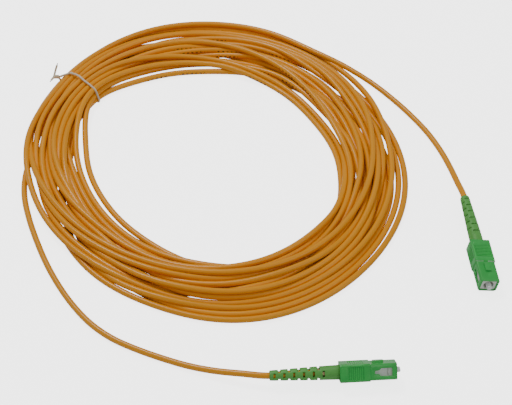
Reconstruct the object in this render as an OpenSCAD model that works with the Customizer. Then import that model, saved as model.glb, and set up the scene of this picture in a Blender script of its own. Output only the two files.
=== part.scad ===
// Simplex fibre patch cord with a push-pull connector on each end, coiled and held by a twist tie.
// +Z is up. The origin is on the surface that the cord lies on, under the middle of the whole part.
// A connector is drawn along +X from the rear face of its grip, key face up, and then placed.

/* [Cord] */
// Outer diameter of the jacket
cord_d = 3; // [2.8:0.05:3]
// Outer diameter of the buffered fibre inside the jacket
buffer_d = 0.9; // [0.6:0.1:1]

/* [Coil] */
// Mean outer radius of the coil
coil_outer_r = 96; // [94:0.5:97]
// Mean inner radius of the coil
coil_inner_r = 67; // [65:0.5:69]
// Height of the pile of turns
coil_h = 9; // [8:0.5:10]

/* [Grip] */
// Length of the grip
grip_l = 25; // [24.8:0.1:25.2]
// Width of the front part of the grip, across the key face
grip_w = 9; // [8.9:0.05:9]
// Height of the front part of the grip, under the key
grip_h = 7.4; // [7.3:0.05:7.4]
// Length of the fatter rear part of the grip
grip_rear_l = 13.2; // [12:0.1:13.5]
// How far the rear part stands out on each side
grip_step = 0.35; // [0.2:0.05:0.4]
// Width of the tunnel through the grip
tunnel_w = 7.3; // [7.2:0.05:7.4]
// Height of the tunnel through the grip
tunnel_h = 5.9; // [5.9:0.05:6]
// Width of the polarity key
key_w = 2.6; // [2.4:0.1:3]
// Height of the polarity key
key_h = 0.9; // [0.7:0.05:1]

/* [Ferrule] */
// Diameter of the ceramic ferrule
ferrule_d = 2.5; // [2.499:0.001:2.5]
// How far the ferrule's tip stands out of the grip
ferrule_out = 2; // [1.8:0.1:2.2]
// Angle of the polished end face
polish_angle = 8; // [0:1:8]

/* [Boot] */
// Length of the boot behind the grip
boot_l = 30.7; // [30:0.1:31]
// Diameter of the boot at the grip
boot_d = 6.6; // [6.4:0.05:6.7]
// Diameter of the boot at its tip
boot_tip_d = 4.5; // [4.4:0.05:4.7]
// Distance from one bending slot to the next on the same faces
slot_pitch = 4.3; // [4.2:0.05:4.4]
// Width of a bending slot along the boot
slot_w = 1; // [0.7:0.05:1.2]

/* [Twist tie] */
// Outer diameter of the plastic cover
tie_d = 1.1; // [1:0.05:1.2]
// Diameter of the wire inside
tie_wire_d = 0.5; // [0.4:0.05:0.6]

/* [Hidden] */
$fn = 48;
eps = 0.01;

// Places: the rear face of each grip, its heading and its roll about its own axis
a_rear = [38.5, -114.5];
a_heading = 3.5;
a_roll = -41;
b_rear = [106.8, -39.5];
b_heading = -84;
b_roll = -10;
coil_centre = [-18, 18.5];

// The hand-wound coil is not quite round: how far its edges lie from the mean radii, every 30 degrees
coil_outer_wave = [-5, -5, -1.5, 5.5, 8, 4, -0.5, -5, -2.5, 2.5, 2.5, -0.5];
coil_inner_wave = [-6, -7, -2, -1, 4, 7, -2, -5, -1, 3.5, 1.5, -2];

// Stations along a connector, measured forward from the rear face of the grip
frame_rear_x = 3.5;
frame_front_x = grip_l - 0.4;
web_x = 18.6;
web_t = 0.9;
collar_t = 1.4;
holder_rear_x = 11.6;
stop_front_x = 9;
stop_flange_x = 2;
barrel_rear_x = -6;
crimp_front_x = 1;
crimp_rear_x = -10;
boot_front_x = 1.5;
boot_step_x = 0.3;
boot_collar_x = -8;
mouth_x = 2.6;
cord_start_x = -6.3;

// Radii and widths of the inner pieces
frame_w = 7;
frame_h = 5.6;
socket_r = 2.4;
web_hole_r = 1.5;
chamber_r = 2.5;
collar_r = 2.35;
ferrule_rear_r = ferrule_d / 2 - 0.2;
holder_r = 1.65;
buffer_hole_r = 0.6;
spring_r = 2.02;
spring_wire_r = 0.2;
spring_turns = 6;
barrel_r = 1.85;
yarn_t = 0.15;
crimp_t = 0.3;
crimp_tail_r = cord_d / 2 + 0.35;
fibre_r = 0.0625;
fibre_hole_r = 0.065;
boot_bore_r = cord_d / 2 + 0.15;
crimp_room_r = 2.42;
boot_neck_r = 2.8;
mouth_r = boot_d / 2 + 0.15;

// Small details of the grip
edge_cut = 0.5;
rib_pitch = 0.95;
rib_count = 6;
rib_first_x = 3.9;
rib_gap = 0.5;
rib_depth = 0.3;
window_x = [15.2, 17.6, 22.9];
window_h = [1.75, 3.75];
key_x = [14.6, 19.4];
latch_slot_x = 20.6;

// Routes of the two free leads, from the crimp to just inside the coil, at the height of the axis
function rolled_height(roll) =
    let (w = grip_w / 2 + grip_step, h = grip_h / 2 + grip_step, cut = edge_cut + grip_step)
        max((w - cut) * abs(sin(roll)) + h * cos(roll), w * abs(sin(roll)) + (h - cut) * cos(roll));
a_z = rolled_height(a_roll);
b_z = rolled_height(b_roll);
function along(rear, heading, z, x) = [rear.x + x * cos(heading), rear.y + x * sin(heading), z];
floor_z = cord_d / 2;
lead_a_points = [
    along(a_rear, a_heading, a_z, cord_start_x),
    along(a_rear, a_heading, a_z, -19),
    along(a_rear, a_heading, a_z, -boot_l - 1),
    [-4, -114.8, 5],
    [-16, -112, 3.2],
    [-28, -108.2, 1.8],
    [-40, -103.7, floor_z],
    [-52, -98.5, floor_z],
    [-63, -92.5, floor_z],
    [-73, -84.3, floor_z],
    [-82, -73.5, floor_z],
    [-90, -61, floor_z],
    [-97, -47.4, floor_z],
    [-103, -33, floor_z],
    [-107.6, -20, floor_z],
    [-111, -7.5, floor_z],
    [-113, 5, floor_z],
    [-111.5, 18.5, 2],
    [-107, 32.5, 3]
];
lead_b_points = [
    along(b_rear, b_heading, b_z, cord_start_x),
    along(b_rear, b_heading, b_z, -19),
    along(b_rear, b_heading, b_z, -boot_l - 1),
    [101.2, 4.5, 2.6],
    [99, 14.5, 1.7],
    [95.3, 26.5, floor_z],
    [89.7, 39.5, floor_z],
    [82.7, 51.5, floor_z],
    [74.4, 63.5, floor_z],
    [64.4, 75.5, 1.8],
    [54, 85, 2.6],
    [43, 93.5, 3.4],
    [32, 99.5, 4],
    [18, 108, 4.4],
    [2, 112.5, 4.6]
];

// Twist tie: a loop around the turns, whose two ends are twisted together outside the coil
tie_angle = 143;
tie_u = 87.2;
tie_loop_r = [14.9, 5.1];
tie_loop_z = 5.7;
tie_twist_r = 0.6;
tie_twist_l = 4.5;

// Curves and tubes
function unit(v) = v / norm(v);
function tangent(p, i) = unit(p[min(i + 1, len(p) - 1)] - p[max(i - 1, 0)]);
function spline(a, b, c, d, t) = 0.5 * (2 * b + (c - a) * t + (2 * a - 5 * b + 4 * c - d) * t ^ 2
    + (3 * b - a - 3 * c + d) * t ^ 3);
function smooth(p, steps) = [
    for (i = [0 : len(p) - 2])
        for (k = [0 : steps - 1])
            spline(p[max(i - 1, 0)], p[i], p[i + 1], p[min(i + 2, len(p) - 1)], k / steps),
    p[len(p) - 1]
];

// One closed tube of radius r along the points p. Each ring is turned as little as the route allows
function across(v, t) = unit(v - (v * t) * t);
module tube(p, r, sides) {
    last = len(p) - 1;
    start = cross(tangent(p, 0), [0.3, 0.4, 1]);
    ring_sides = [
        for (i = 0, v = unit(start); i <= last; i = i + 1, v = across(v, tangent(p, min(i, last)))) v
    ];
    rings = [
        for (i = [0 : last])
            let (t = tangent(p, i), side = across(ring_sides[i], t), up = cross(side, t))
                for (k = [0 : sides - 1])
                    p[i] + r * (cos(360 * k / sides) * side + sin(360 * k / sides) * up)
    ];
    faces = [
        [for (k = [0 : sides - 1]) k],
        for (i = [0 : last - 1])
            for (k = [0 : sides - 1])
                [i * sides + k, (i + 1) * sides + k,
                 (i + 1) * sides + (k + 1) % sides, i * sides + (k + 1) % sides],
        [for (k = [sides - 1 : -1 : 0]) last * sides + k]
    ];
    polyhedron(points = rings, faces = faces, convexity = 6);
}

// Building blocks along +X
module rod(x0, x1, r) {
    translate([x0, 0, 0]) rotate([0, 90, 0]) cylinder(h = x1 - x0, r = r);
}

module cone(x0, x1, r0, r1) {
    translate([x0, 0, 0]) rotate([0, 90, 0]) cylinder(h = x1 - x0, r1 = r0, r2 = r1);
}

module bar(x0, x1, w, h) {
    translate([x0, -w / 2, -h / 2]) cube([x1 - x0, w, h]);
}

// A bar whose four long edges are cut off at 45 degrees
module cut_bar(x0, x1, w, h, cut) {
    y = w / 2;
    z = h / 2;
    translate([x0, 0, 0])
        rotate([90, 0, 90])
            linear_extrude(x1 - x0)
                polygon([
                    [y, z - cut], [y - cut, z], [cut - y, z], [-y, z - cut],
                    [-y, cut - z], [cut - y, -z], [y - cut, -z], [y, cut - z]
                ]);
}

// Connector pieces
module grip() {
    difference() {
        union() {
            cut_bar(0, grip_rear_l, grip_w + 2 * grip_step, grip_h + 2 * grip_step, edge_cut + grip_step);
            cut_bar(grip_rear_l - eps, grip_l, grip_w, grip_h, edge_cut);
            translate([key_x[0], -key_w / 2, grip_h / 2 - eps])
                cube([key_x[1] - key_x[0], key_w, key_h + eps]);
        }
        bar(-1, grip_l + 1, tunnel_w, tunnel_h);
        rod(-1, mouth_x, mouth_r);
        bar(window_x[0], window_x[1] + eps, grip_w + 1, window_h[0]);
        bar(window_x[1], window_x[2], grip_w + 1, window_h[1]);
        for (i = [0 : rib_count - 1])
            translate([rib_first_x + i * rib_pitch, 0, 0]) grip_grooves();
    }
}

module grip_grooves() {
    w = grip_w + 2 * grip_step;
    h = grip_h + 2 * grip_step;
    for (side = [-1, 1])
        translate([0, side * w / 2, 0]) bar(0, rib_gap, 2 * rib_depth, h - 2.4);
    for (side = [-1, 1])
        translate([0, 0, side * h / 2]) bar(0, rib_gap, w - 2.4, 2 * rib_depth);
}

module plug_frame() {
    difference() {
        cut_bar(frame_rear_x, frame_front_x, frame_w, frame_h, 0.5);
        rod(web_x + web_t, grip_l, socket_r);
        rod(frame_rear_x - 1, web_x, chamber_r);
        rod(web_x - eps, web_x + web_t + eps, web_hole_r);
        for (side = [-1, 1])
            translate([latch_slot_x, side * frame_w / 2, 0]) bar(0, 0.6, 1.2, 3.4);
    }
}

module ferrule() {
    tip_x = grip_l + ferrule_out;
    difference() {
        union() {
            rod(web_x - 2.2, web_x + web_t + eps, ferrule_rear_r);
            rod(web_x + web_t, tip_x - 0.5, ferrule_d / 2);
            cone(tip_x - 0.5, tip_x, ferrule_d / 2, ferrule_d / 2 - 0.35);
        }
        rod(web_x - 3, tip_x + 1, fibre_hole_r);
        translate([tip_x - 0.12, 0, 0])
            rotate([0, polish_angle, 0]) bar(0, 2, 2 * ferrule_d, 2 * ferrule_d);
    }
}

module fibre() {
    rod(web_x - 2, grip_l + ferrule_out - 0.14, fibre_r);
}

module ferrule_holder() {
    difference() {
        union() {
            rod(web_x - 0.05 - collar_t, web_x - 0.05, collar_r);
            rod(holder_rear_x, web_x - collar_t, holder_r);
        }
        rod(web_x - 2.2, web_x + 1, ferrule_rear_r);
        rod(holder_rear_x - 1, web_x - 2, buffer_hole_r);
    }
}

module spring() {
    steps = 12;
    x0 = stop_front_x + spring_wire_r + 0.02;
    x1 = web_x - 0.05 - collar_t - spring_wire_r - 0.05;
    points = [
        for (i = [0 : spring_turns * steps])
            let (a = 360 * i / steps)
                [x0 + (x1 - x0) * i / (spring_turns * steps), spring_r * cos(a), spring_r * sin(a)]
    ];
    tube(points, spring_wire_r, 6);
}

module stop_body() {
    difference() {
        union() {
            rod(stop_flange_x + eps, stop_front_x, chamber_r - 0.05);
            bar(stop_flange_x, frame_rear_x - 0.05, frame_w - 0.4, frame_h - 0.3);
            rod(barrel_rear_x, stop_flange_x + eps, barrel_r);
        }
        rod(barrel_rear_x - 1, stop_front_x + 1, 0.9);
    }
}

module yarn() {
    difference() {
        rod(barrel_rear_x + 0.2, crimp_front_x - 0.2, barrel_r + yarn_t);
        rod(barrel_rear_x - 1, crimp_front_x + 1, barrel_r + 0.01);
    }
}

module crimp_sleeve() {
    inner_r = barrel_r + yarn_t + 0.01;
    step_x = barrel_rear_x - 0.15;
    difference() {
        union() {
            rod(step_x - 0.3, crimp_front_x, inner_r + crimp_t);
            rod(crimp_rear_x, step_x, crimp_tail_r);
        }
        rod(step_x, crimp_front_x + 1, inner_r);
        rod(crimp_rear_x - 1, step_x + eps, cord_d / 2 + 0.02);
    }
}

module buffered_fibre() {
    rod(cord_start_x + 0.05, holder_rear_x + 2, buffer_d / 2);
}

// Bending slots: across the top and bottom between segments, and a short one in the middle of each side
module boot() {
    difference() {
        union() {
            rod(boot_step_x - eps, boot_front_x, boot_neck_r);
            rod(boot_collar_x, boot_step_x, boot_d / 2);
            cone(-boot_l, boot_collar_x + eps, boot_tip_d / 2, boot_d / 2);
        }
        rod(-boot_l - 1, boot_front_x + 1, boot_bore_r);
        rod(crimp_rear_x - 0.3, boot_front_x + 1, crimp_room_r);
        for (i = [0 : 4])
            for (side = [-1, 1])
                translate([slot_pitch * (i + 1) - boot_l - slot_w / 2, 0, side * 3.3])
                    bar(0, slot_w, 8, 4);
        for (i = [0 : 5])
            for (side = [-1, 1])
                translate([slot_pitch * (i + 0.5) - boot_l - slot_w / 2, side * 3.3, 0])
                    bar(0, slot_w, 4, 2.6);
    }
}

// Placing
module place_a() {
    translate([a_rear.x, a_rear.y, a_z]) rotate([0, 0, a_heading]) rotate([a_roll, 0, 0]) children();
}

module place_b() {
    translate([b_rear.x, b_rear.y, b_z]) rotate([0, 0, b_heading]) rotate([b_roll, 0, 0]) children();
}

// Free leads, coil and twist tie
module lead(points) {
    color("orange") tube(smooth(points, 2), cord_d / 2, 8);
}

// A closed, smooth outline through radii that are spaced evenly round the coil's centre
function outline(mean_r, wave, inset) = [
    for (i = [0 : len(wave) - 1])
        for (k = [0 : 5])
            let (n = len(wave), t = k / 6, a = (i + t) * 360 / n,
                 w = spline(wave[(i + n - 1) % n], wave[i], wave[(i + 1) % n], wave[(i + 2) % n], t))
                (mean_r + w - inset) * [cos(a), sin(a)]
];

module coil_slab(z0, z1, inset) {
    translate([coil_centre.x, coil_centre.y, z0])
        linear_extrude(z1 - z0)
            difference() {
                polygon(outline(coil_outer_r, coil_outer_wave, inset));
                polygon(outline(coil_inner_r, coil_inner_wave, -inset));
            }
}

// The pile of turns: flat underneath, and narrower towards its top
module coil() {
    color("orange") {
        coil_slab(0, coil_h - 3, 0);
        coil_slab(coil_h - 3 - eps, coil_h - 1.2, 1.5);
        coil_slab(coil_h - 1.2 - eps, coil_h, 4);
    }
}

function tie_frame_point(u, t, z) = [
    coil_centre.x + u * cos(tie_angle) - t * sin(tie_angle),
    coil_centre.y + u * sin(tie_angle) + t * cos(tie_angle), z];
function tie_loop_point(a) = tie_frame_point(
    tie_u + tie_loop_r[0] * cos(a) * (1 + 0.06 * sin(a) ^ 2),
    -1.5 * sin(a) + (a - 180) / 180 * 0.7,
    tie_loop_z + tie_loop_r[1] * sin(a) * (1 + 0.06 * cos(a) ^ 2));
function tie_twist_point(s, phase) = tie_frame_point(
    tie_u + tie_loop_r[0] + 0.6 + s * tie_twist_l,
    tie_twist_r * cos(phase + 400 * s) * (1 - 0.1 * s),
    tie_loop_z - 1.2 + s * 1.5 + tie_twist_r * sin(phase + 400 * s));
tie_points = [
    tie_frame_point(tie_u + tie_loop_r[0] + 5.4, -4.6, 9.6),
    tie_frame_point(tie_u + tie_loop_r[0] + 5.8, -2.4, 7.2),
    for (s = [1 : -0.125 : 0]) tie_twist_point(s, 180),
    for (a = [18 : 18 : 342]) tie_loop_point(a),
    for (s = [0 : 0.125 : 1]) tie_twist_point(s, 0),
    tie_frame_point(tie_u + tie_loop_r[0] + 6.4, 2.2, 4.6),
    tie_frame_point(tie_u + tie_loop_r[0] + 7, 4, 3.2)
];

module tie_cover() {
    color("white") tube(tie_points, tie_d / 2, 8);
}

// The two bare ends of the wire, where the cover has been cut back
module tie_wire() {
    last = len(tie_points) - 1;
    for (ends = [[tie_points[0], tie_points[1]], [tie_points[last], tie_points[last - 1]]]) {
        out = unit(ends[0] - ends[1]);
        color("silver") tube([ends[0], ends[0] + 0.6 * out, ends[0] + 1.2 * out], tie_wire_d / 2, 8);
    }
}

place_a() color("seagreen") grip();  // grip_a
place_a() color("whitesmoke") plug_frame();  // plug_frame_a
place_a() color("white") ferrule();  // ferrule_a
place_a() color("lightcyan") fibre();  // fibre_a
place_a() color("silver") ferrule_holder();  // ferrule_holder_a
place_a() color("gray") spring();  // spring_a
place_a() color("silver") stop_body();  // stop_body_a
place_a() color("goldenrod") crimp_sleeve();  // crimp_sleeve_a
place_a() color("khaki") yarn();  // yarn_a
place_a() color("white") buffered_fibre();  // buffered_fibre_a
place_a() color("mediumseagreen") boot();  // boot_a
place_b() color("seagreen") grip();  // grip_b
place_b() color("whitesmoke") plug_frame();  // plug_frame_b
place_b() color("white") ferrule();  // ferrule_b
place_b() color("lightcyan") fibre();  // fibre_b
place_b() color("silver") ferrule_holder();  // ferrule_holder_b
place_b() color("gray") spring();  // spring_b
place_b() color("silver") stop_body();  // stop_body_b
place_b() color("goldenrod") crimp_sleeve();  // crimp_sleeve_b
place_b() color("khaki") yarn();  // yarn_b
place_b() color("white") buffered_fibre();  // buffered_fibre_b
place_b() color("mediumseagreen") rotate([90, 0, 0]) boot();  // boot_b
lead(lead_a_points);  // lead_a
coil();
lead(lead_b_points);  // lead_b
tie_cover();
tie_wire();
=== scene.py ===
"""Looks of a coiled fibre patch cord: the wound cord, its twist tie, and the two plugs with their boots."""

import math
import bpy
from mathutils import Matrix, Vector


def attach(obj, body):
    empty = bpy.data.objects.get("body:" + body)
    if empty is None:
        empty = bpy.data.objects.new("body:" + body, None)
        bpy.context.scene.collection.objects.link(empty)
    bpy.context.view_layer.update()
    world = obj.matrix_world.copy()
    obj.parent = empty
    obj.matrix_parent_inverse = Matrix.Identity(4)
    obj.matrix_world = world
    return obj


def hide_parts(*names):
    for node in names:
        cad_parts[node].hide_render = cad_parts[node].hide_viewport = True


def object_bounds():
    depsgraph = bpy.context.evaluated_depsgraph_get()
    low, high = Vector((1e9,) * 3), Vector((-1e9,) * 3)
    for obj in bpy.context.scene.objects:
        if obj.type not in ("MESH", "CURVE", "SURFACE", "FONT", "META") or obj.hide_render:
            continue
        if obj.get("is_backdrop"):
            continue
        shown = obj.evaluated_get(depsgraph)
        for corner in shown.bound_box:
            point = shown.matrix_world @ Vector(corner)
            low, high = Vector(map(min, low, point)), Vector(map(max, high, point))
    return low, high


bl_info = {
    "name": "Fibre patch cord",
    "version": (1, 0, 0),
    "blender": (4, 5, 0),
    "location": "View3D > Sidebar > Patch cord",
    "description": "Makes a coiled fibre patch cord with a twist tie and two push-pull plugs",
    "category": "Object",
}

import bmesh
import bpy
import numpy as np
from bpy.props import (
    FloatProperty,
    FloatVectorProperty,
    IntProperty,
    PointerProperty,
)
from mathutils import Matrix, Vector

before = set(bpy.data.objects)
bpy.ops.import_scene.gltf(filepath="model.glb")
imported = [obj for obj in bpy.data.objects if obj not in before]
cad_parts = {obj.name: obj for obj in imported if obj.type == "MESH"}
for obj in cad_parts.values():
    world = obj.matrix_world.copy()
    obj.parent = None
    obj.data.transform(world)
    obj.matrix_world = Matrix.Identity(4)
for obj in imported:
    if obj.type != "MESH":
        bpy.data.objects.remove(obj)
cad_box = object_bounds()

MM = 0.001
ENDS = ("a", "b")

# Each plug: the rear face of its grip, its heading, its roll, the height of its axis, the turn of its boot
# and how far the boot's slots are open. Millimetres and degrees, as in the part's source.
PLUGS = {
    "a": {
        "rear": (38.5, -114.5),
        "heading": 3.5,
        "roll": -41,
        "height": 5.681,
        "boot_turn": 0,
        "slot": 1.0,
    },
    "b": {
        "rear": (106.8, -39.5),
        "heading": -84,
        "roll": -10,
        "height": 4.683,
        "boot_turn": 90,
        "slot": 0.5,
    },
}
COIL_CENTRE = np.array([-18.0, 18.5])


def along_plug(end, x):
    """A point on the axis of a plug, x millimetres in front of the rear face of its grip."""
    plug = PLUGS[end]
    heading = math.radians(plug["heading"])
    return [
        plug["rear"][0] + x * math.cos(heading),
        plug["rear"][1] + x * math.sin(heading),
        plug["height"],
    ]


def plug_matrix(end, turn=0.0):
    """Places a mesh drawn along +X in millimetres, key up, as the plug lies."""
    plug = PLUGS[end]
    return (
        Matrix.Scale(MM, 4)
        @ Matrix.Translation((*plug["rear"], plug["height"]))
        @ Matrix.Rotation(math.radians(plug["heading"]), 4, "Z")
        @ Matrix.Rotation(math.radians(plug["roll"] + turn), 4, "X")
    )


# ---------------------------------------------------------------- the cord's route

# Where the cord is held straight behind each plug: its start in the crimp, in the boot, past the boot's tip
STRAIGHT_X = (-6.3, -19, -31.7)


def lead(end, *points):
    """Points along a free lead in millimetres, from its plug to the coil."""
    return np.array([*(along_plug(end, x) for x in STRAIGHT_X), *points])


LEAD_A = lead(
    "a",
    [-4, -114.8, 5], [-16, -112, 3.2], [-28, -108.2, 1.8], [-40, -103.7, 1.5],
    [-52, -98.5, 1.5], [-63, -92.5, 1.5], [-73, -84.3, 1.5], [-82, -73.5, 1.5],
    [-90, -61, 1.5], [-97, -47.4, 1.5], [-103, -33, 1.5], [-107.6, -20, 1.5],
    [-111, -7.5, 1.5], [-113, 5, 1.5], [-111.5, 18.5, 2], [-107, 32.5, 3],
)
LEAD_B = lead(
    "b",
    [101.2, 4.5, 2.6], [99, 14.5, 1.7], [95.3, 26.5, 1.5], [89.7, 39.5, 1.5],
    [82.7, 51.5, 1.5], [74.4, 63.5, 1.5], [64.4, 75.5, 1.8], [54, 85, 2.6],
    [43, 93.5, 3.4], [32, 99.5, 4], [18, 108, 4.4], [2, 112.5, 4.6],
)
# From these points on, a lead's angle about the coil's centre changes one way only
LEAD_A_TURNS, LEAD_B_TURNS = 11, 4
# The coil runs clockwise, from where lead A meets it to where lead B leaves it
COIL_START = 200.0
COIL_END = 43.0
# Radii of the bundle's outer and inner edges, every 30 degrees round the coil's centre, and their middle
OUTER_EDGE = [90.5, 89, 95, 103.5, 111, 104, 95.5, 91.5, 94, 99, 101, 96]
INNER_EDGE = [59.5, 52.5, 61, 69, 74.5, 76, 61, 56.5, 60, 68, 69, 67.5]
MIDDLE_RADIUS = 82
# Waves of a turn's wander across the bundle: waves in each turn, and their size
WANDER = ((0.21, 1.0), (0.57, 0.9), (1.13, 0.6), (1.83, 0.25))
# Turns that stray from the bundle: turn, degrees to fade in and out, angles and radii along the stray part
STRAYS = [
    (4, 40, 25, [(146, 77), (137, 74.5), (128, 72.8), (116, 71.6), (108, 70.2), (101, 68), (92, 66.5)]),
    (17, 50, 30, [(150, 99.5), (143, 101.8), (135, 104.5), (120, 107.5), (105, 104.8), (90, 101.8),
                  (78, 100), (68, 98.2), (52, 96.8), (45, 95.2), (37, 92.5), (29, 90), (20, 88), (10, 86.8),
                  (-15, 88)]),
    (16, 40, 30, [(150, 94), (143, 96.2), (135, 99), (120, 103), (105, 101.8), (90, 99), (78, 97.4)]),
    (8, 40, 40, [(225, 60), (210, 59.4), (195, 60.8), (180, 64.6)]),
    (12, 40, 40, [(60, 62.6), (45, 58.8), (30, 57), (15, 58.8), (0, 61.6)]),
    (13, 40, 40, [(60, 65.4), (45, 61.6), (30, 59.8), (15, 61.6), (0, 64.4)]),
    (18, 30, 10, [(150, 96.8), (143, 99), (135, 101.7), (120, 105.5), (105, 105.5), (90, 103.2),
                  (78, 101.3), (68, 98.7), (60, 96)]),
    (1, 25, 25, [(22, 89.5), (10, 91), (-2, 94), (-18, 96.5), (-30, 97.5), (-41, 98.5), (-53, 100.5),
                 (-65, 102.5), (-80, 103), (-92, 100), (-104, 95)]),
    (2, 25, 25, [(10, 88), (0, 90.5), (-18, 93), (-30, 94), (-41, 95), (-53, 97.2), (-65, 99), (-80, 99.5),
                 (-95, 96)]),
    (3, 25, 25, [(-30, 91), (-41, 91.8), (-53, 94), (-65, 95.6), (-80, 96), (-95, 93)]),
]
# A stray turn is led to its side of the bundle over this many degrees
LED_DEGREES = 110
# Share of the way to its goal that a turn moves in each round, in the bundle and where it strays
PULL, STRAY_PULL = 0.02, 0.3
# How far a turn may lie outside the bundle's edges, and the share of the rest that it is pushed back by
EDGE_PLAY, EDGE_PUSH = 0.6, 0.5
# Share of their overlap by which two turns push each other away
PUSH_APART = 0.38
# Share of the rounds up to which the turns sink by so much in each round
SINKING = ((0.45, 0.16), (0.85, 0.07), (1.0, 0.03))
# The turns are pressed down above this height, and this share of what stands above it goes in each round
PRESSED_ABOVE, PRESSED_SHARE = 7.6, 0.25
# The tie squeezes the turns: where it is, their middle, half width and top there, and the degrees it reaches
TIE_ANGLE = 143.0
TIE_MIDDLE, TIE_HALF, TIE_TOP, TIE_REACH = 92.0, 12.5, 11.0, 6.0


def ease(t):
    """0 to 1, smooth at both ends."""
    t = np.clip(t, 0.0, 1.0)
    return t * t * (3 - 2 * t)


def blended(a, b, share):
    return a * (1 - share) + b * share


def spline(a, b, c, d, t):
    """Catmull-Rom from b to c."""
    return 0.5 * (
        2 * b + (c - a) * t + (2 * a - 5 * b + 4 * c - d) * t**2 + (3 * b - a - 3 * c + d) * t**3
    )


def curve_through(points, steps):
    """A smooth open curve through the points, with steps samples from each to the next."""
    last = len(points) - 1
    samples = [
        spline(points[max(i - 1, 0)], points[i], points[i + 1], points[min(i + 2, last)], k / steps)
        for i in range(last)
        for k in range(steps)
    ]
    return np.array([*samples, points[last]])


def edge_radius(radii, degrees):
    """A radius of a closed outline whose radii are given at even steps round the circle."""
    radii, count = np.asarray(radii, float), len(radii)
    place = (np.asarray(degrees) % 360) / 360 * count
    i = np.floor(place).astype(int)
    return spline(*(radii[(i + k) % count] for k in (-1, 0, 1, 2)), place - i)


def polar(points):
    """Angle in degrees and radius about the coil's centre."""
    x, y = points[:, 0] - COIL_CENTRE[0], points[:, 1] - COIL_CENTRE[1]
    return np.degrees(np.arctan2(y, x)), np.hypot(x, y)


def round_coil(degrees, radius, side, height):
    """Points at an angle and radius about the coil's centre, moved sideways round it."""
    turned = np.radians(degrees)
    x = COIL_CENTRE[0] + radius * np.cos(turned) - side * np.sin(turned)
    y = COIL_CENTRE[1] + radius * np.sin(turned) + side * np.cos(turned)
    return np.stack([x, y, height], axis=-1)


def from_tie(degrees):
    """Degrees from the tie, the short way round."""
    return (degrees - TIE_ANGLE + 180) % 360 - 180


def smoothed(values, passes, weight=0.25):
    for _ in range(passes):
        values = values.copy()
        values[1:-1] += weight * (values[:-2] + values[2:] - 2 * values[1:-1])
    return values


def stray_share(angle, first, last, fade_in, fade_out):
    """1 along a stray part, fading to 0 past its two ends."""
    return ease((first + fade_in - angle) / fade_in) * ease((angle - last + fade_out) / fade_out)


def table_size(count, per_turn):
    """Rows of a table with one row for each turn and one column for each angle, and its spare places."""
    layers = int(np.ceil(count / per_turn))
    return layers, layers * per_turn - count


def across_bundle(cord, angle, turn):
    """Where each turn lies across the bundle, from 0 to 1: its rank in a slow wander of all turns."""
    count, per_turn = len(angle), cord.steps_per_turn
    rng = np.random.default_rng(cord.seed)
    wander = np.zeros(count)
    for waves, size in WANDER:
        wander += size * np.sin(2 * np.pi * (waves * turn + rng.random()))
    for number, _, _, places in STRAYS:
        first, last = (places[i][0] - 360.0 * number for i in (0, -1))
        near = stray_share(angle, first, last, LED_DEGREES, LED_DEGREES)
        side = 1 if places[len(places) // 2][1] > MIDDLE_RADIUS else -1
        wander = blended(wander, side * (3.2 + 0.02 * number), near)
    layers, spare = table_size(count, per_turn)
    table = np.r_[wander, np.full(spare, np.inf)].reshape(layers, per_turn)
    order = np.argsort(np.argsort(table, axis=0), axis=0)
    present = np.full(per_turn, layers)
    present[per_turn - spare :] -= 1
    rank = ((order + 0.5) / present).reshape(-1)[:count]
    return np.clip(smoothed(rank, 60), 0, 1)


def with_strays(angle, goal):
    """Leads the stray turns along their own lines. Returns the goals, the pull and where turns stray."""
    pull, held = np.full(len(angle), PULL), np.zeros(len(angle))
    for number, fade_in, fade_out, places in STRAYS:
        at, radii = np.array(places, float).T
        at = at - 360.0 * number
        near = stray_share(angle, at[0], at[-1], fade_in, fade_out)
        goal = blended(goal, np.interp(-angle, -at, radii), near)
        pull = blended(pull, STRAY_PULL, near)
        held = np.maximum(held, near)
    return goal, pull, held > 0


def lead_at(points, skip, degrees):
    """Radii and heights of a lead at the given angles, from its point number skip on."""
    fine = curve_through(points, 24)[24 * skip :]
    at, out = polar(fine)
    at = at % 360
    by_angle = np.argsort(at)
    return [np.interp(degrees, at[by_angle], values[by_angle]) for values in (out, fine[:, 2])]


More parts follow.
